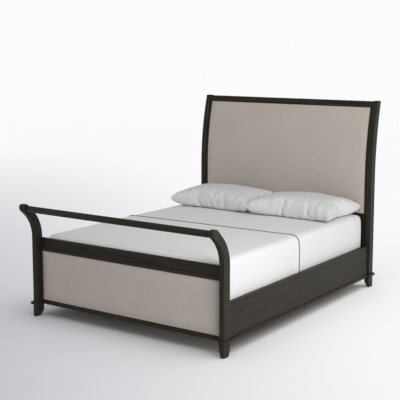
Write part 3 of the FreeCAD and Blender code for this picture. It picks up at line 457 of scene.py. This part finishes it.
def upholstered_panel(name, node, surface, back_depth, crown, seed):
    """Foam and fabric over a board: rolled borders, a shallow crown, fabric pulled at the edges.

    surface(x, z) gives a point on the uncrowned face and its outward normal.
    """
    low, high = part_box(node)
    xs = spaced(high.x - low.x, EDGE_STATIONS, PANEL_COLUMNS) + low.x
    zs = spaced(high.z - low.z, EDGE_STATIONS, int((high.z - low.z) / PANEL_ROW_PITCH)) + low.z
    front, back = [], []
    for z in zs:
        for x in xs:
            point, normal = surface(x, z)
            inset = min(x - low.x, high.x - x, z - low.z, high.z - z)
            front.append(point - normal * rolled_border(inset))
            back.append(point - normal * back_depth)
    rows, columns = len(zs), len(xs)
    count = rows * columns
    skin = mesh_object(name, front, grid_faces(rows, columns), linen)
    loop = border_loop(rows, columns)
    run_cloth(skin, PANEL_FRAMES, PANEL_PRESSURE, mass=0.5, tension=26, bending=6, damping=12, air=6,
              pins=loop)
    points = points_of(skin)
    bpy.data.objects.remove(skin)
    flat = np.array([tuple(p) for p in front])
    normals = np.array([tuple(surface(p[0], p[2])[1]) for p in flat])
    raised = np.clip(((points - flat) * normals).sum(axis=1), -crown, crown)
    swell = smoothed(raised.reshape(rows, columns))
    slack = ripple(flat, 5.5, seed) * 0.0006 + ripple(flat, 17.0, seed + 1) * 0.00025
    inset = np.minimum.reduce([flat[:, 0] - low.x, high.x - flat[:, 0],
                               flat[:, 2] - low.z, high.z - flat[:, 2]])
    hold = np.clip(inset / FABRIC_HELD, 0, 1)
    rise = np.clip(inset / SHOULDER_WIDE, 0, 1)
    shoulder = SHOULDER_HIGH * rise * rise * (3 - 2 * rise)
    points = flat + normals * ((swell + slack) * hold + shoulder)[:, None]
    everything = np.vstack([points, np.array([tuple(p) for p in back])])
    faces = grid_faces(rows, columns) + grid_faces(rows, columns, count, flip=True)
    for index, a in enumerate(loop):
        b = loop[(index + 1) % len(loop)]
        faces.append((b, a, a + count, b + count))
    piece = mesh_object(name, everything, faces, linen)
    subdivide(piece)
    finish_piece(piece, BODY_FRAME, node)


FOOT_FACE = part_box("footboard_cushion")[0].y
HEAD_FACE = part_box("headboard_cushion")[0].y
LEAN_START, LEAN_RADIUS = 0.9, 2.248           # height and radius of the headboard's backward lean
WELT_STEP = 0.02


def footboard_surface(x, z):
    return Vector((x, FOOT_FACE, z)), Vector((0, -1, 0))


def headboard_surface(x, z):
    """Upright below the start of the lean, then bending away along an arc."""
    rise = max(0.0, z - LEAN_START)
    run = math.sqrt(LEAN_RADIUS * LEAN_RADIUS - rise * rise)
    return Vector((x, HEAD_FACE + LEAN_RADIUS - run, z)), Vector((0, -run / LEAN_RADIUS, rise / LEAN_RADIUS))


def welt(name, node, surface):
    """Sewn welt all round a panel's border, lying in the roll of the fabric."""
    low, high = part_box(node)
    x0, x1 = low.x + WELT_INSET, high.x - WELT_INSET
    z0, z1 = low.z + WELT_INSET, high.z - WELT_INSET
    corners = [(x0, z0), (x1, z0), (x1, z1), (x0, z1), (x0, z0)]
    route = []
    for (xa, za), (xb, zb) in zip(corners, corners[1:]):
        steps = int(math.hypot(xb - xa, zb - za) / WELT_STEP)
        for k in range(steps):
            share = k / steps
            point, normal = surface(xa + (xb - xa) * share, za + (zb - za) * share)
            route.append(point - normal * WELT_SUNK)
    route.append(route[0])
    piece = tube(name, route, WELT_RADIUS, linen)
    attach(piece, BODY_FRAME)


# ---------------------------------------------------------------------------------------
# Mattress, box spring and sheets
# ---------------------------------------------------------------------------------------
def box_shell(low, high, step, bottom=True):
    """Even grid over a box's faces, welded, with the bottom left open if asked."""
    size = high - low
    counts = [max(2, int(round(size[i] / step))) for i in range(3)]
    build = bmesh.new()
    for axis in range(3):
        u, v = [i for i in range(3) if i != axis]
        for end in (0, 1):
            if axis == 2 and end == 0 and not bottom:
                continue
            grid = {}
            for i in range(counts[u] + 1):
                for j in range(counts[v] + 1):
                    point = [0.0, 0.0, 0.0]
                    point[axis] = high[axis] if end else low[axis]
                    point[u] = low[u] + size[u] * i / counts[u]
                    point[v] = low[v] + size[v] * j / counts[v]
                    grid[i, j] = build.verts.new(point)
            for i in range(counts[u]):
                for j in range(counts[v]):
                    quad = [grid[i, j], grid[i + 1, j], grid[i + 1, j + 1], grid[i, j + 1]]
                    build.faces.new(quad if (end == 1) == (axis != 1) else quad[::-1])
    bmesh.ops.remove_doubles(build, verts=build.verts, dist=step * 0.01)
    bmesh.ops.recalc_face_normals(build, faces=build.faces)
    return build


def round_plan(points, low, high, corner):
    """Turn the square upright corners of box points into quarter circles.

    Returns the points, their outward directions in plan and their distances in from the side faces.
    """
    middle = np.array([low.x + high.x, low.y + high.y]) / 2
    half = np.array([high.x - low.x, high.y - low.y]) / 2 - corner
    rel = points[:, :2] - middle
    core = np.clip(rel, -half, half)
    off = rel - core
    longest = np.abs(off).max(axis=1)
    size = np.linalg.norm(off, axis=1)
    both = (np.abs(off) > 1e-9).all(axis=1)
    scale = np.where(both & (size > 0), longest / np.maximum(size, 1e-9), 1.0)
    off = off * scale[:, None]
    points = points.copy()
    points[:, :2] = core + off + middle
    gap = half + corner - np.abs(points[:, :2] - middle)
    length = np.linalg.norm(off, axis=1)
    side_out = np.zeros_like(off)
    nearest = np.argmin(gap, axis=1)
    sign = np.sign(points[:, :2] - middle)
    every = np.arange(len(off))
    side_out[every, nearest] = sign[every, nearest]
    outward = np.where(both[:, None], off / np.maximum(length, 1e-9)[:, None], side_out)
    inset = np.where(both, corner - length, gap.min(axis=1))
    return points, outward, inset


def round_rim(points, outward, inset, level, radius, below):
    """Roll the rim at a level into a quarter circle; below is 1 for a top rim and -1 for a bottom rim."""
    depth = (level - points[:, 2]) * below
    on_face = depth < 1e-6
    travel = np.where(on_face, inset, -depth)
    near = (travel > -radius) & (travel < radius) & (on_face | (inset < 1e-6))
    angle = (travel + radius) / (2 * radius) * math.pi / 2
    new_inset = radius - radius * np.cos(angle)
    new_depth = radius - radius * np.sin(angle)
    moved = points.copy()
    shift = np.where(near, np.where(on_face, inset, 0) - new_inset, 0)
    moved[:, :2] += outward * shift[:, None]
    moved[:, 2] = np.where(near, level - below * new_depth, points[:, 2])
    return moved


def soft_shell(name, low, high, step, corner, rim, material, bottom_rim=0.0, bottom=True):
    """A box of even quads with rounded upright corners and rolled rims."""
    build = box_shell(low, high, step, bottom)
    mesh = bpy.data.meshes.new(name)
    build.to_mesh(mesh)
    build.free()
    piece = bpy.data.objects.new(name, mesh)
    bpy.context.scene.collection.objects.link(piece)
    piece.data.materials.append(material)
    points, outward, inset = round_plan(points_of(piece), low, high, corner)
    shaped = round_rim(points, outward, inset, high.z, rim, 1)
    if bottom_rim:
        shaped = round_rim(shaped, outward, inset, low.z, bottom_rim, -1)
    set_points(piece, shaped)
    piece.data.polygons.foreach_set("use_smooth", [True] * len(piece.data.polygons))
    return piece


def push(piece, amount):
    """Move every vertex along its normal."""
    normals = np.empty(len(piece.data.vertices) * 3)
    piece.data.vertices.foreach_get("normal", normals)
    set_points(piece, points_of(piece) + normals.reshape(-1, 3) * np.asarray(amount)[:, None])


TAPE_RADIUS, CORNER_STEPS = 0.0035, 6


def tape_edge(name, low, high, level, corner, sunk, body, material):
    """Sewn tape round a mattress or box spring at one level, sunk a little into it."""
    route = []
    half_x = (high.x - low.x) / 2 - sunk - corner
    half_y = (high.y - low.y) / 2 - sunk - corner
    centre = (low + high) / 2
    for sx, sy, start in ((1, 1, 0), (-1, 1, 90), (-1, -1, 180), (1, -1, 270)):
        for k in range(CORNER_STEPS + 1):
            angle = math.radians(start + 90 * k / CORNER_STEPS)
            route.append((centre.x + sx * half_x + corner * math.cos(angle),
                          centre.y + sy * half_y + corner * math.sin(angle), level))
    route.append(route[0])
    piece = tube(name, route, TAPE_RADIUS, material)
    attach(piece, body)


SHELL_STEP, SHEET_STEP = 0.030, 0.024
MATTRESS_CORNER, SPRING_CORNER = 0.060, 0.040
MATTRESS_TOP_RIM, MATTRESS_LOW_RIM, SPRING_RIM = 0.034, 0.026, 0.010
MATTRESS_AIR = 0.004          # between the ticking and the fitted sheet
QUILT_PITCH, QUILT_DEEP, QUILT_SUNK = 0.11, 0.0025, 0.003


def mattress():
    low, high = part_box("mattress")
    top = high - Vector((0, 0, MATTRESS_AIR))
    piece = soft_shell("mattress_body_ticking", low, top, SHELL_STEP, MATTRESS_CORNER, MATTRESS_TOP_RIM,
                       ticking, bottom_rim=MATTRESS_LOW_RIM)
    waves = np.sin(points_of(piece)[:, :2] * math.pi / QUILT_PITCH)
    push(piece, np.sqrt(np.abs(waves[:, 0] * waves[:, 1])) * QUILT_DEEP - QUILT_SUNK)
    subdivide(piece)
    finish_piece(piece, BODY_MATTRESS, "mattress")
    tape_edge("mattress_tape_low", low, high, low.z + 0.030, MATTRESS_CORNER, 0.002, BODY_MATTRESS, ticking)


def box_spring():
    low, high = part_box("box_spring")
    piece = soft_shell("box_spring_cover", low, high, SHELL_STEP, SPRING_CORNER, SPRING_RIM, spring_cover,
                       bottom_rim=SPRING_RIM)
    push(piece, -0.0015 + ripple(points_of(piece), 9.0, 4) * 0.001)
    subdivide(piece)
    finish_piece(piece, BODY_SPRING, "box_spring")
    for label, level in (("low", low.z + 0.012), ("high", high.z - 0.012)):
        tape_edge("box_spring_tape_" + label, low, high, level, SPRING_CORNER, 0.001, BODY_SPRING,
                  spring_cover)


SHEET_THICK = 0.0016
SKIRT_DROP = 0.012            # the skirts end this far below the CAD sheets
HEAD_TUCK = 0.008             # and reach this far past them at the head end
FITTED_CORNER, FITTED_RIM = 0.032, 0.046
COVER_CORNER, COVER_RIM = 0.035, 0.049


def thicken(piece):
    modifier = piece.modifiers.new("thickness", "SOLIDIFY")
    modifier.thickness = SHEET_THICK
    modifier.offset = -1
    apply_modifiers(piece)


def folds(points, high):
    """Unevenness shared by both sheets, outward only: swells and fold lines on top, upright pulls below."""
    swell = ripple(points, 3.2, 11) * 0.0012 + ripple(points, 9.0, 12) * 0.0005
    skirt = np.clip((high.z - 0.03 - points[:, 2]) / 0.08, 0, 1)
    drawn = points * np.array([1.0, 1.0, 0.3])
    pull = ripple(drawn, 6.0, 13) * 0.0022 + creased(drawn, 5.0, 14, 4) * 0.0022
    fold_lines = creased(points, 2.6, 15, 8) * 0.0008
    return 0.0017 + swell + fold_lines + (0.0024 + pull) * skirt


def fitted_sheet():
    low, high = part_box("fitted_sheet")
    low.z -= SKIRT_DROP
    high.y += HEAD_TUCK
    piece = soft_shell("fitted_sheet_cotton", low, high, SHEET_STEP, FITTED_CORNER, FITTED_RIM, percale,
                       bottom=False)
    push(piece, folds(points_of(piece), high))
    thicken(piece)
    subdivide(piece)
    finish_piece(piece, BODY_MATTRESS, "fitted_sheet")


HEM_SKEW = 0.036              # the hem runs slightly askew: rise in Y for each metre of X
HEM_SPARE = 0.16              # cloth beyond the hem before it is trimmed
HEM_BAND, HEM_LIFT = 0.05, 0.002               # the hem stands up a little from the sheet under it
PIPING_RADIUS = 0.0045


def cover_sheet():
    """Top sheet over the foot half, its head edge bound with a thin grey piping."""
    low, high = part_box("cover_sheet")
    low.z -= SKIRT_DROP
    high.y += HEAD_TUCK
    untrimmed = high + Vector((0, HEM_SPARE, 0))
    piece = soft_shell("cover_sheet_cotton", low, untrimmed, SHEET_STEP, COVER_CORNER, COVER_RIM, percale,
                       bottom=False)
    build = bmesh.new()
    build.from_mesh(piece.data)
    bmesh.ops.bisect_plane(build, geom=build.verts[:] + build.edges[:] + build.faces[:], dist=1e-6,
                           plane_co=(0, high.y, 0), plane_no=(-HEM_SKEW, 1, 0), clear_outer=True)
    build.to_mesh(piece.data)
    build.free()
    points = points_of(piece)
    hem_line = high.y + HEM_SKEW * points[:, 0]
    lift = np.clip((points[:, 1] - (hem_line - HEM_BAND)) / HEM_BAND, 0, 1) ** 2
    push(piece, folds(points, high) + lift * HEM_LIFT)
    rim = [v.co.copy() for v, line in zip(piece.data.vertices, hem_line) if abs(v.co.y - line) < 0.004]
    thicken(piece)
    subdivide(piece)
    finish_piece(piece, BODY_MATTRESS, "cover_sheet")
    rim.sort(key=lambda p: math.atan2(p.x, p.z - low.z + 0.3))
    hem = tube("cover_sheet_piping", [p + Vector((0, 0.001, 0)) for p in rim], PIPING_RADIUS, piping_cloth)
    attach(hem, BODY_MATTRESS)


# ---------------------------------------------------------------------------------------
# Pillows
# ---------------------------------------------------------------------------------------
PILLOW_COLUMNS, PILLOW_ROWS = 66, 44
PILLOW_VOLUME, PILLOW_PRESSURE, PILLOW_FRAMES = 0.034, 6.0, 34
CASE_SHARE_X, CASE_SHARE_Y = 1.13, 1.18        # flat case against the filled pillow's box
CASE_THICK, CASE_UNEVEN = 0.012, 0.0015
PILLOW_GROWTH = np.array([0.038, 0.024, 0.056])    # filled size beyond the CAD box
PILLOW_FULLNESS = 0.72        # below 1 the filling stands fuller towards the seams
FLAT_SHARE, FLAT_SOFT = 0.30, 0.014            # how low the underside goes, and how softly it flattens
PILLOW_FORWARD, PILLOW_AIR = 0.004, 0.0015


def pillow_case(name, wide, deep, seed):
    """Two flat layers of cloth sewn together round their border."""
    points = []
    for layer in (1, -1):
        for r in range(PILLOW_ROWS):
            for c in range(PILLOW_COLUMNS):
                u, v = c / (PILLOW_COLUMNS - 1) * 2 - 1, r / (PILLOW_ROWS - 1) * 2 - 1
                bulge = (1 - u ** 4) * (1 - v ** 4)
                uneven = CASE_UNEVEN * noise.noise(Vector((u * 9, v * 9, seed)))
                x = wide / 2 * u * (1 - 0.015 * (1 - v * v))
                y = deep / 2 * v * (1 - 0.02 * (1 - u * u))
                points.append((x, y, layer * CASE_THICK * bulge + uneven))
    count = PILLOW_ROWS * PILLOW_COLUMNS
    faces = grid_faces(PILLOW_ROWS, PILLOW_COLUMNS)
    faces += grid_faces(PILLOW_ROWS, PILLOW_COLUMNS, count, flip=True)
    piece = mesh_object(name, points, faces, case_cotton)
    build = bmesh.new()
    build.from_mesh(piece.data)
    build.verts.ensure_lookup_table()
    for index in border_loop(PILLOW_ROWS, PILLOW_COLUMNS):
        top, under = build.verts[index], build.verts[index + count]
        under.co = top.co = (top.co + under.co) / 2
    bmesh.ops.remove_doubles(build, verts=build.verts, dist=1e-6)
    bmesh.ops.recalc_face_normals(build, faces=build.faces)
    build.to_mesh(piece.data)
    build.free()
    return piece


def settled(shaped, target):
    """Filled cloth brought to its size, centred, its underside flattened by the mattress."""
    shaped -= (shaped.max(axis=0) + shaped.min(axis=0)) / 2
    span = shaped.max(axis=0) - shaped.min(axis=0)
    height = shaped[:, 2] / (span[2] / 2)
    fuller = np.sign(height) * np.abs(height) ** PILLOW_FULLNESS
    shaped *= target / span
    shaped[:, 2] = fuller * target[2] / 2
    bend = FLAT_SOFT - target[2] * FLAT_SHARE
    under = shaped[:, 2] < bend
    shaped[under, 2] = bend - FLAT_SOFT * (1 - np.exp((shaped[under, 2] - bend) / FLAT_SOFT))
    return shaped


def pillow_wrinkles(shaped, target, seed):
    """Height of the tucks and creases: across the long seams, along the end seams, none at the seams."""
    reach = np.abs(shaped) / (target / 2)
    near_long = np.clip((reach[:, 1] - 0.35) / 0.4, 0, 1) * np.clip((1.0 - reach[:, 1]) / 0.12, 0, 1)
    near_end = np.clip((reach[:, 0] - 0.6) / 0.3, 0, 1) * np.clip((1.0 - reach[:, 0]) / 0.08, 0, 1)
    wrinkles = near_long * ripple(shaped * np.array([26, 5, 7]), 1.0, seed) * 0.0042
    wrinkles += near_end * ripple(shaped * np.array([6, 26, 7]), 1.0, seed + 2) * 0.0032
    wrinkles += near_long * creased(shaped * np.array([17, 4, 6]), 1.0, seed + 6, 6) * 0.0055
    wrinkles += near_end * creased(shaped * np.array([4, 17, 6]), 1.0, seed + 8, 6) * 0.0045
    return wrinkles + ripple(shaped, 7.0, seed + 4) * 0.0022


def pillow(side, seed):
    """A case filled by cloth pressure and laid on the mattress."""
    node = "pillow_" + side
    low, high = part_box(node)
    centre = (low + high) / 2
    wide, deep = (high.x - low.x) * CASE_SHARE_X, (high.y - low.y) * CASE_SHARE_Y
    piece = pillow_case(node + "_case", wide, deep, seed)
    run_cloth(piece, PILLOW_FRAMES, PILLOW_PRESSURE, mass=0.25, tension=18, bending=0.4, damping=8, air=2,
              volume=PILLOW_VOLUME)
    target = np.array(high - low) + PILLOW_GROWTH
    set_points(piece, settled(points_of(piece), target))
    push(piece, pillow_wrinkles(points_of(piece), target, seed))
    shaped = points_of(piece)
    shaped[:, 2] -= shaped[:, 2].min()
    shaped += np.array([centre.x, centre.y - PILLOW_FORWARD, low.z + PILLOW_AIR])
    set_points(piece, shaped)
    subdivide(piece)
    finish_piece(piece, "pillow_%s_body" % side, node)


# ---------------------------------------------------------------------------------------
# Stage, light and camera
# ---------------------------------------------------------------------------------------
BACKDROP, FILL_STRENGTH = 0.975, 0.55
# the paper's even colour, then the painted shade colour that darkens and cools it at the front left
PAPER, PAINTED_FLOOR_SHADE = (0.955, 0.95, 0.95), (0.55, 0.56, 0.60)
# The painted shade on the floor is an ellipse turned by degrees about Z: its centre and half axes in the
# turned frame.
PAINTED_SHADE_TURN, PAINTED_SHADE_CENTRE, PAINTED_SHADE_REACH = 34.9, (-3.27, -9.5), (5.39, 21.7)
GLOW_NEAR, GLOW_FAR = 8.0, 40.0                # the paper turns into the backdrop between these radii
FLOOR_REACH = 400.0


def nearness(shader, vector, centre, reach):
    """One at the centre, falling evenly to nothing at the reach."""
    moved = shader.node("ShaderNodeMapping", {
        "Vector": vector, "Location": (-centre[0] / reach[0], -centre[1] / reach[1], 0),
        "Scale": (1 / reach[0], 1 / reach[1], 1)})
    ball = shader.node("ShaderNodeTexGradient", {"Vector": moved.outputs["Vector"]},
                       gradient_type="SPHERICAL")
    return ball.outputs["Fac"]


def stage():
    """Seamless white paper with a soft cool painted shade in its colour at the front left, fading into the
    backdrop far away.
    """
    shader = Shader("floor_paper", 0.85, Specular_IOR_Level=0.1)
    turned = shader.scaled((1, 1, 1), (0, 0, math.radians(-PAINTED_SHADE_TURN)))
    # painted shade: the paper's colour darkens and cools towards the front left
    shade = shader.node("ShaderNodeMapRange", {"Value": nearness(shader, turned, PAINTED_SHADE_CENTRE, PAINTED_SHADE_REACH)},
                        interpolation_type="SMOOTHSTEP").outputs["Result"]
    shader.drive("Base Color", shader.ramp(shade, [(0.0, PAPER), (0.5, PAINTED_FLOOR_SHADE)]))
    close = nearness(shader, shader.place, (0, 0), (GLOW_FAR, GLOW_FAR))
    fade = shader.node("ShaderNodeMapRange", {
        "Value": close, "From Min": 0.0, "From Max": 1 - GLOW_NEAR / GLOW_FAR, "To Min": 1.0, "To Max": 0.0},
        interpolation_type="SMOOTHSTEP").outputs["Result"]
    glow = shader.node("ShaderNodeEmission", {"Color": (BACKDROP, BACKDROP, BACKDROP, 1.0)})
    mixer = shader.node("ShaderNodeMixShader", {"Fac": fade, 1: shader.surface.outputs["BSDF"],
                                                2: glow.outputs["Emission"]})
    shader.tree.links.new(mixer.outputs["Shader"], shader.tree.nodes["Material Output"].inputs["Surface"])
    corners = [(x * FLOOR_REACH, y * FLOOR_REACH, 0) for x, y in ((-1, -1), (1, -1), (1, 1), (-1, 1))]
    floor = mesh_object("floor", corners, [(0, 1, 2, 3)], shader.material, smooth=False)
    return floor


def link_light(lamp, piece, state):
    """Let a lamp reach only one piece (state INCLUDE), or everything but one (state EXCLUDE)."""
    receivers = bpy.data.collections.new(lamp.name + "_receivers")
    receivers.objects.link(piece)
    lamp.light_linking.receiver_collection = receivers
    receivers.collection_objects[0].light_linking.link_state = state


KEY_PLACE, KEY_TARGET = Vector((3.9, -2.4, 2.6)), Vector((0, 0.1, 0.6))
KEY_SIZE, KEY_POWER, KEY_COLOUR = (2.2, 2.0), 152, (1.0, 0.997, 0.99)
CEILING_POWER, CEILING_SPREAD, CEILING_LEAN = 1.65, 60, 24


def key_light(floor):
    """Large soft box at the front right, lighting everything but the floor."""
    data = bpy.data.lights.new("key", "AREA")
    data.shape = "RECTANGLE"
    data.size, data.size_y = KEY_SIZE
    data.energy = KEY_POWER
    data.color = KEY_COLOUR
    lamp = bpy.data.objects.new("key", data)
    lamp.location = KEY_PLACE
    lamp.rotation_mode = "QUATERNION"
    lamp.rotation_quaternion = (KEY_TARGET - KEY_PLACE).to_track_quat("-Z", "Y")
    bpy.context.scene.collection.objects.link(lamp)
    link_light(lamp, floor, "EXCLUDE")


def ceiling_light(floor):
    """Very soft light from above for the floor alone, which gives the bed its broad shadow."""
    data = bpy.data.lights.new("ceiling", "SUN")
    data.energy = CEILING_POWER
    data.angle = math.radians(CEILING_SPREAD)
    lamp = bpy.data.objects.new("ceiling", data)
    lamp.rotation_euler = (0, math.radians(CEILING_LEAN), 0)
    bpy.context.scene.collection.objects.link(lamp)
    link_light(lamp, floor, "INCLUDE")


def studio():
    """Even fill light, and a brighter backdrop that only the camera sees."""
    world = bpy.data.worlds.new("studio")
    world.use_nodes = True
    tree = world.node_tree
    fill = tree.nodes["Background"]
    fill.inputs["Color"].default_value = (0.985, 0.985, 0.985, 1.0)
    fill.inputs["Strength"].default_value = FILL_STRENGTH
    seen = tree.nodes.new("ShaderNodeBackground")
    seen.inputs["Color"].default_value = (BACKDROP, BACKDROP, BACKDROP, 1.0)
    chooser = tree.nodes.new("ShaderNodeMixShader")
    path = tree.nodes.new("ShaderNodeLightPath")
    tree.links.new(path.outputs["Is Camera Ray"], chooser.inputs["Fac"])
    tree.links.new(fill.outputs["Background"], chooser.inputs[1])
    tree.links.new(seen.outputs["Background"], chooser.inputs[2])
    tree.links.new(chooser.outputs["Shader"], tree.nodes["World Output"].inputs["Surface"])
    bpy.context.scene.world = world
    bpy.context.scene.view_settings.view_transform = "Standard"


CAMERA_PLACE = Vector((4.004, -5.904, 1.988))
CAMERA_AZIMUTH, CAMERA_PITCH = 34.857, 8.256
CAMERA_LENS, CAMERA_SHIFT = 84.55, -0.05


def camera():
    data = bpy.data.cameras.new("camera")
    data.sensor_width = 36.0
    data.lens = CAMERA_LENS
    data.shift_y = CAMERA_SHIFT
    viewer = bpy.data.objects.new("camera", data)
    viewer.location = CAMERA_PLACE
    viewer.rotation_euler = (math.radians(90 - CAMERA_PITCH), 0, math.radians(CAMERA_AZIMUTH))
    bpy.context.scene.collection.objects.link(viewer)
    bpy.context.scene.camera = viewer


# ---------------------------------------------------------------------------------------
# Put everything together
# ---------------------------------------------------------------------------------------
camera()
paint_nodes()
upholstered_panel("footboard_cushion_linen", "footboard_cushion", footboard_surface, 0.0115, 0.003, 3)
upholstered_panel("headboard_cushion_linen", "headboard_cushion", headboard_surface, 0.0315, 0.002, 8)
welt("footboard_welt", "footboard_cushion", footboard_surface)
welt("headboard_welt", "headboard_cushion", headboard_surface)
mattress()
box_spring()
fitted_sheet()
cover_sheet()
pillow("left", 5)
pillow("right", 9)
studio()
paper = stage()
key_light(paper)
ceiling_light(paper)
